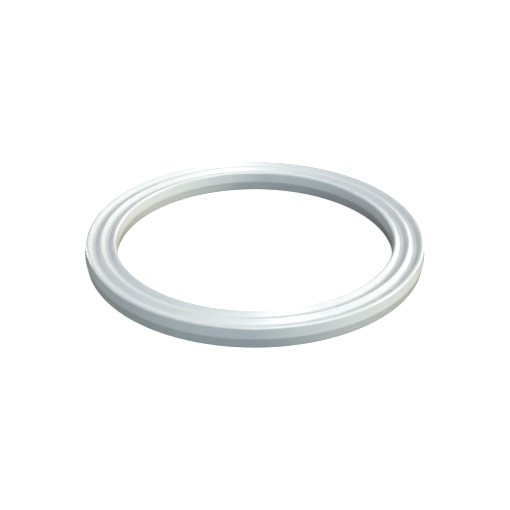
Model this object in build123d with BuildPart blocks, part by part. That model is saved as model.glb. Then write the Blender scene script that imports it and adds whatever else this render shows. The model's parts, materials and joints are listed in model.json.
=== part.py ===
"""Cable gland sealing ring for an M40 x 1.5 thread: one ring moulded in polyethylene.

The ring lies flat with its axis along +Z. The origin is on the axis, at the height of its bottom lips.
Lengths are in millimetres and angles in degrees.
"""
import os
from math import radians, tan

from build123d import *

# Driving dimensions
bore_diameter = 40.2      # at the parting line, where the bore is narrowest
section_width = 4.75      # from the bore to the outer wall, both at the parting line
height = 3.15             # from the bottom lips to the top lips
draft_angle = 9           # both walls lean back from the parting line by this much
parting_land = 0.1        # straight band on both walls where the mould halves meet
shoulder_radius = 0.3     # rounding between a wall and its lip
outer_lip_land = 0.13     # flat of the outer lip
middle_lip_land = 0.12    # flat of the narrow lip between the two grooves
inner_lip_land = 0.04     # flat of the inner lip
groove_slope = 33         # of both flanks of a groove, from level
groove_bottom_radius = 0.6    # leaves the grooves 0.46 mm deep

# Sizes that follow from them
bore_radius = bore_diameter / 2
outer_radius = bore_radius + section_width
half_height = height / 2
half_land = parting_land / 2
wall_lean = (half_height - half_land) * tan(radians(draft_angle))
shoulder_reach = shoulder_radius / tan(radians((90 + draft_angle) / 2))

# Radii of the section's corners, from the outer wall to the bore
outer_corner = outer_radius - wall_lean
outer_groove_outside = outer_corner - shoulder_reach - outer_lip_land
bore_corner = bore_radius + wall_lean
inner_groove_inside = bore_corner + shoulder_reach + inner_lip_land
groove_width = (outer_groove_outside - inner_groove_inside - middle_lip_land) / 2
outer_groove_inside = outer_groove_outside - groove_width
inner_groove_outside = inner_groove_inside + groove_width

# Both flanks of a groove, drawn on, would meet at this height before its bottom is rounded
groove_foot = half_height - groove_width / 2 * tan(radians(groove_slope))
outer_groove_middle = (outer_groove_outside + outer_groove_inside) / 2
inner_groove_middle = (inner_groove_outside + inner_groove_inside) / 2

# Sealing ring: its section is drawn from the parting line up, mirrored down and turned about the axis
mid_height = Plane(origin=(0, 0, half_height), x_dir=(1, 0, 0), z_dir=(0, -1, 0))

with BuildPart() as sealing_ring:
    with BuildSketch(mid_height):
        with BuildLine():
            Line((outer_radius, 0), (outer_radius, half_land))
            FilletPolyline(
                (outer_radius, half_land),
                (outer_corner, half_height),
                (outer_groove_outside, half_height),
                radius=shoulder_radius,
            )
            FilletPolyline(
                (outer_groove_outside, half_height),
                (outer_groove_middle, groove_foot),
                (outer_groove_inside, half_height),
                radius=groove_bottom_radius,
            )
            Line((outer_groove_inside, half_height), (inner_groove_outside, half_height))
            FilletPolyline(
                (inner_groove_outside, half_height),
                (inner_groove_middle, groove_foot),
                (inner_groove_inside, half_height),
                radius=groove_bottom_radius,
            )
            FilletPolyline(
                (inner_groove_inside, half_height),
                (bore_corner, half_height),
                (bore_radius, half_land),
                radius=shoulder_radius,
            )
            Line((bore_radius, half_land), (bore_radius, 0))
            mirror(about=Plane.XZ)
        make_face()
    revolve(axis=Axis.Z)

sealing_ring.part.label = "sealing_ring"
os.makedirs("parts", exist_ok=True)
export_step(sealing_ring.part, "parts/sealing_ring.step")
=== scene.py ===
"""Cable gland sealing ring, dressed around its CAD model: the moulded ring, table, camera and lamps.

Lengths are in metres in the CAD model's frame: the ring's axis is +Z and its bottom lips stand at zero.
"""
import json
from math import cos, pi, radians, sin, tan

import bpy
import numpy as np
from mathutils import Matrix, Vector


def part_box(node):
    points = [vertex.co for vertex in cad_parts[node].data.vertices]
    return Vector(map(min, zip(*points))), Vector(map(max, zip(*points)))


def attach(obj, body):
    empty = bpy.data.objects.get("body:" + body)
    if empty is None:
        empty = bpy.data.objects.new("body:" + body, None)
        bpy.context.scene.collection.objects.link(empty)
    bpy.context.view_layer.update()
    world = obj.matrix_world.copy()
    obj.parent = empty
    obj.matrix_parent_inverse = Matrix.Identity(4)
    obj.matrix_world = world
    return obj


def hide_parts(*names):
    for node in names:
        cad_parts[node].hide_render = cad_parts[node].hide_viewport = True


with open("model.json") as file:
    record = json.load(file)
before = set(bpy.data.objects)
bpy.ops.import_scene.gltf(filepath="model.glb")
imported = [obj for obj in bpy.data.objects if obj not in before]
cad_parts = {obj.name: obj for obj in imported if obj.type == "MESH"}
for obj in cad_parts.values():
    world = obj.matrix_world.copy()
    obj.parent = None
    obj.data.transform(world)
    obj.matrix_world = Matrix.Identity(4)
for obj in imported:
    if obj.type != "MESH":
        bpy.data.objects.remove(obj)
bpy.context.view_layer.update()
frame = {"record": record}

# Sealing ring: one piece of light grey polyethylene, injection moulded between two turned mould
# halves that meet at half height. Two grooves leave three lips on either face, which bed into the
# gland's flange and the wall.
mm = 0.001

draft_angle = radians(9)       # lean of both walls, back from the parting line
parting_land = 0.1 * mm        # straight band where the mould halves meet
shoulder_radius = 0.3 * mm     # between a wall and its lip
outer_lip_land = 0.13 * mm     # flats of the three lips
middle_lip_land = 0.12 * mm
inner_lip_land = 0.04 * mm
groove_slope = radians(33)     # of both flanks of a groove, from level
groove_bottom_radius = 0.6 * mm
edge_rounding = 0.02 * mm      # what a turned mould leaves on the lips and along the parting line

high_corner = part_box("sealing_ring")[1]
height = high_corner.z
outer_radius = high_corner.x
bore_radius = frame["record"]["mounts"][0]["dims"]["r_mm"] * mm

section_points = 200
turn_steps = 360               # round the axis
arc_points = 24                # on each arc of the section as it is first drawn
walked_steps = 8000            # fine even steps in which the section's edges are rounded
spread_length = 0.15 * mm      # the section's points are shared out so that this length
spread_turn = radians(7)       # gets as many of them as this turn


def corner_arc(corner, back, on, radius):
    """Points of the arc that rounds a corner: unit directions back and on leave the corner along
    its two sides, and the arc's centre lies on the line that halves them, at radius over the sine
    of half their angle."""
    middle = (back + on) / np.linalg.norm(back + on)
    half_angle = np.arccos(np.clip(back @ on, -1, 1)) / 2
    centre = corner + middle * radius / np.sin(half_angle)
    reach = radius / np.tan(half_angle)
    start, end = corner + back * reach - centre, corner + on * reach - centre
    sweep = np.arccos(np.clip(start @ end / radius**2, -1, 1))
    part = np.linspace(0, 1, arc_points)[:, None]
    return centre + (np.sin((1 - part) * sweep) * start + np.sin(part * sweep) * end) / np.sin(sweep)


def ring_section():
    """Outline of the ring's section as (radius, height) points: the upper half from the outer wall
    over the lips to the bore, then its mirror image back to the start."""
    half = height / 2
    lean = (half - parting_land / 2) * tan(draft_angle)
    reach = shoulder_radius / tan((pi / 2 + draft_angle) / 2)
    outer_corner = outer_radius - lean
    bore_corner = bore_radius + lean
    outer_edge = outer_corner - reach - outer_lip_land
    inner_edge = bore_corner + reach + inner_lip_land
    groove_width = (outer_edge - inner_edge - middle_lip_land) / 2
    inward = np.array([-1.0, 0.0])
    down_outer = np.array([sin(draft_angle), -cos(draft_angle)])
    down_bore = np.array([-sin(draft_angle), -cos(draft_angle)])
    up_outer = np.array([cos(groove_slope), sin(groove_slope)])
    up_inner = np.array([-cos(groove_slope), sin(groove_slope)])
    foot = half - groove_width / 2 * tan(groove_slope)
    upper = [[[outer_radius, parting_land / 2]]]
    upper.append(corner_arc(np.array([outer_corner, half]), down_outer, inward, shoulder_radius))
    for outside in (outer_edge, inner_edge + groove_width):
        middle = np.array([outside - groove_width / 2, foot])
        upper.append([[outside, half]])
        upper.append(corner_arc(middle, up_outer, up_inner, groove_bottom_radius))
        upper.append([[outside - groove_width, half]])
    upper.append(corner_arc(np.array([bore_corner, half]), -inward, down_bore, shoulder_radius))
    upper.append([[bore_radius, parting_land / 2]])
    upper = np.concatenate(upper)
    return np.concatenate([upper, upper[::-1] * [1, -1]]) + [0, half]


def walk(outline, measure, count):
    """Points on a closed outline, evenly spaced in a measure that grows along it."""
    closed = np.vstack([outline, outline[:1]])
    along = np.concatenate([[0], np.cumsum(measure)])
    even = np.linspace(0, along[-1], count, endpoint=False)
    return np.column_stack([np.interp(even, along, closed[:, axis]) for axis in (0, 1)])


def lengths(outline):
    """Length of each side of a closed outline."""
    return np.linalg.norm(np.roll(outline, -1, axis=0) - outline, axis=1)


def finished_section():
    """The section with its edges rounded and its points set closer in the curves: it is walked in
    even fine steps, each step is averaged with its neighbours, and the points are then spread
    evenly in length plus turn."""
    outline = ring_section()
    fine = walk(outline, lengths(outline), walked_steps)
    reach = int(edge_rounding / lengths(fine).mean())
    fine = sum(np.roll(fine, shift, axis=0) for shift in range(-reach, reach + 1)) / (2 * reach + 1)
    side = np.roll(fine, -1, axis=0) - fine
    heading = np.arctan2(side[:, 1], side[:, 0])
    turn = np.abs((np.roll(heading, -1) - heading + pi) % (2 * pi) - pi)
    return walk(fine, lengths(fine) / spread_length + turn / spread_turn, section_points)


def ring_mesh(name):
    """The section carried round the axis: point (i, j) is section point i turned by j steps. Its UV
    map holds the distance along the section and the distance round the ring's middle, both in
    millimetres."""
    section = finished_section()
    angle = np.linspace(0, 2 * pi, turn_steps, endpoint=False)
    across, up = section[:, 0][:, None], section[:, 1][:, None]
    points = np.broadcast_arrays(across * np.cos(angle), across * np.sin(angle), up)
    grid = np.stack(points, axis=-1)
    index = np.arange(section_points * turn_steps).reshape(section_points, turn_steps)
    along, around = np.roll(index, -1, axis=0), np.roll(index, -1, axis=1)
    both = np.roll(along, -1, axis=1)
    quads = np.stack([index, around, both, along], axis=-1).reshape(-1, 4)
    mesh = bpy.data.meshes.new(name)
    mesh.from_pydata(grid.reshape(-1, 3), [], quads.tolist())
    mesh.shade_smooth()
    i, j = np.meshgrid(np.arange(section_points), np.arange(turn_steps), indexing="ij")
    walked = np.concatenate([[0], np.cumsum(lengths(section))]) / mm
    middle_step = (outer_radius + bore_radius) / 2 * 2 * pi / turn_steps / mm
    u = walked[np.stack([i, i, i + 1, i + 1], axis=-1)]
    v = np.stack([j, j + 1, j + 1, j], axis=-1) * middle_step
    uv_map = mesh.uv_layers.new(name="along_and_round")
    uv_map.data.foreach_set("uv", np.stack([u, v], axis=-1).ravel())
    return mesh


ring = bpy.data.objects.new("moulded_ring", ring_mesh("moulded_ring"))
bpy.context.scene.collection.objects.link(ring)

grain_width = 0.35 * mm        # spark pits are about 0.03 mm wide: drawn wider, so that they show
turning_pitch = 0.3125         # of the mould's turning marks, in millimetres as the UV map is
patch_width = 2.6 * mm         # the melt cools unevenly round the ring, over a few millimetres
turning_share = 0.35           # of the relief, whose rest is grain
relief_depth = 0.012 * mm


def linear(hex_colour):
    """Linear colour of an sRGB hex value such as cdd0cf."""
    parts = [int(hex_colour[i:i + 2], 16) / 255 for i in (0, 2, 4)]
    return [c / 12.92 if c <= 0.04045 else ((c + 0.055) / 1.055) ** 2.4 for c in parts] + [1]


def add_node(tree, kind, settings, inputs):
    """Adds a node with its settings. An input that is given a socket is linked to it, and any
    other is set."""
    node = tree.nodes.new(kind)
    for name, value in settings.items():
        setattr(node, name, value)
    for name, value in inputs.items():
        if isinstance(value, bpy.types.NodeSocket):
            tree.links.new(value, node.inputs[name])
        else:
            node.inputs[name].default_value = value
    return node


def moulded_polyethylene():
    """Polyethylene from a spark-finished mould, whose two halves were turned: a light grey satin
    skin with faint grain and rings, slightly uneven in colour and gloss, and a little light passing
    under it."""
    material = bpy.data.materials.new("moulded_polyethylene")
    material.use_nodes = True
    tree = material.node_tree
    tree.nodes.clear()
    place = add_node(tree, "ShaderNodeTexCoord", {}, {})
    grain = add_node(tree, "ShaderNodeTexNoise", {}, {
        "Vector": place.outputs["Object"],
        "Scale": 1 / grain_width,
        "Detail": 3.0,
        "Roughness": 0.6,
    })
    # Turning marks follow the ring: they depend only on the distance along the section
    section_place = add_node(tree, "ShaderNodeSeparateXYZ", {}, {"Vector": place.outputs["UV"]})
    turning = add_node(tree, "ShaderNodeTexNoise", {"noise_dimensions": "1D"}, {
        "W": section_place.outputs["X"],
        "Scale": 1 / turning_pitch,
        "Detail": 2.0,
        "Roughness": 0.5,
    })
    relief = add_node(tree, "ShaderNodeMix", {"data_type": "FLOAT"}, {
        "Factor": turning_share,
        "A": grain.outputs["Fac"],
        "B": turning.outputs["Fac"],
    })
    bump = add_node(tree, "ShaderNodeBump", {}, {
        "Height": relief.outputs["Result"],
        "Strength": 0.35,
        "Distance": relief_depth,
    })
    patches = add_node(tree, "ShaderNodeTexNoise", {}, {
        "Vector": place.outputs["Object"],
        "Scale": 1 / patch_width,
        "Detail": 2.0,
    })
    # In a colour mix, inputs 6 and 7 are the two colours and output 2 is their mix
    tint = add_node(tree, "ShaderNodeMix", {"data_type": "RGBA"}, {
        "Factor": patches.outputs["Fac"],
        6: linear("cdd0cf"),
        7: linear("d6d8d7"),
    })
    gloss = add_node(tree, "ShaderNodeMapRange", {}, {
        "Value": grain.outputs["Fac"],
        "From Min": 0.3,
        "From Max": 0.7,
        "To Min": 0.27,
        "To Max": 0.35,
    })
    surface = add_node(tree, "ShaderNodeBsdfPrincipled", {}, {
        "Base Color": tint.outputs[2],
        "Roughness": gloss.outputs["Result"],
        "Normal": bump.outputs["Normal"],
        "IOR": 1.52,
        "Subsurface Weight": 0.05,
        "Subsurface Scale": 0.4 * mm,
    })
    add_node(tree, "ShaderNodeOutputMaterial", {}, {"Surface": surface.outputs["BSDF"]})
    return material


ring.data.materials.append(moulded_polyethylene())

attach(ring, "root")
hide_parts("sealing_ring")

# Table: a glowing plate of opal acrylic, matt and white, which drowns the ring's shadows, because
# the photograph's ground is pure white. It doesn't light the ring, because the ring's lower walls
# are dark in the photograph.
table_half_width = 3.0
table_glow = 0.8

corners = np.array([(-1, -1, 0), (1, -1, 0), (1, 1, 0), (-1, 1, 0)]) * table_half_width
table_mesh = bpy.data.meshes.new("light_table")
table_mesh.from_pydata(corners, [], [(0, 1, 2, 3)])
opal = bpy.data.materials.new("opal_acrylic")
opal.use_nodes = True
opal.node_tree.nodes.clear()
plate = add_node(opal.node_tree, "ShaderNodeBsdfPrincipled", {}, {
    "Base Color": linear("f4f4f4"),
    "Roughness": 0.8,
    "Emission Color": linear("ffffff"),
    "Emission Strength": table_glow,
})
add_node(opal.node_tree, "ShaderNodeOutputMaterial", {}, {"Surface": plate.outputs["BSDF"]})
table_mesh.materials.append(opal)
table = bpy.data.objects.new("light_table", table_mesh)
table.visible_diffuse = table.visible_glossy = table.visible_transmission = False
bpy.context.scene.collection.objects.link(table)

# Camera: the photograph looks down at 30 degrees from well back, with the ring a little above the
# picture's middle.
camera_elevation = radians(30.43)
camera_distance = 163.6 * mm
camera_lens = 78.2             # in millimetres, on Blender's sensor 36 mm wide
nearest_seen, farthest_seen = 0.01, 10
aim = Vector((0, -0.78 * mm, 0))

camera = bpy.data.objects.new("camera", bpy.data.cameras.new("camera"))
camera.data.lens = camera_lens
camera.data.clip_start, camera.data.clip_end = nearest_seen, farthest_seen
away = Vector((0, -cos(camera_elevation), sin(camera_elevation)))
camera.location = aim + away * camera_distance
camera.rotation_euler = away.to_track_quat("Z", "Y").to_euler()
bpy.context.scene.collection.objects.link(camera)
bpy.context.scene.camera = camera

# Lamps: eight round soft boxes a metre off. A low warm one on the right is the strongest and leaves
# the groove flanks that face away from it in shade. A cool one stands behind the camera and one in
# front on the right. One hangs overhead, three very low ones light the left and back walls, and a
# dim one draws a thin shine along the lips.
lamp_distance = 1.0
lamp_spread = radians(9)       # angle that each lamp fills, seen from the ring


def soft_box(name, azimuth, elevation, level, hex_colour):
    """A round lamp that faces the ring. Azimuth runs from +X over +Y, and level is how bright a
    white sheet that faces the lamp would look: a lamp of power P at distance d gives such a sheet
    P over (pi d) squared."""
    lamp = bpy.data.objects.new(name, bpy.data.lights.new(name, "AREA"))
    lamp.data.shape = "DISK"
    lamp.data.size = 2 * lamp_distance * tan(lamp_spread / 2)
    lamp.data.energy = level * (pi * lamp_distance) ** 2
    lamp.data.color = linear(hex_colour)[:3]
    turn, lift = radians(azimuth), radians(elevation)
    away = Vector((cos(turn) * cos(lift), sin(turn) * cos(lift), sin(lift)))
    lamp.location = away * lamp_distance
    lamp.rotation_euler = away.to_track_quat("Z", "Y").to_euler()
    lamp.visible_camera = False
    bpy.context.scene.collection.objects.link(lamp)


soft_box("key", 0, 18, 0.74, "fff3de")
soft_box("front", 270, 34, 0.52, "e1f1ff")
soft_box("front_right", 315, 34, 0.29, "ebfff8")
soft_box("overhead", 0, 80, 0.48, "fffbff")
soft_box("left", 180, 4, 0.27, "f9fffa")
soft_box("back_left", 135, 4, 0.27, "ffffff")
soft_box("back_right", 50, 4, 0.28, "ffffff")
soft_box("shine", 90, 30, 0.05, "e8f4ff")

# Surround: white, as in the photograph, and kept out of the ring's light and reflections.
world = bpy.data.worlds.new("studio")
world.use_nodes = True
world.node_tree.nodes["Background"].inputs["Color"].default_value = (1, 1, 1, 1)
bpy.context.scene.world = world
world.cycles_visibility.diffuse = world.cycles_visibility.glossy = False
bpy.context.scene.view_settings.view_transform = "Standard"
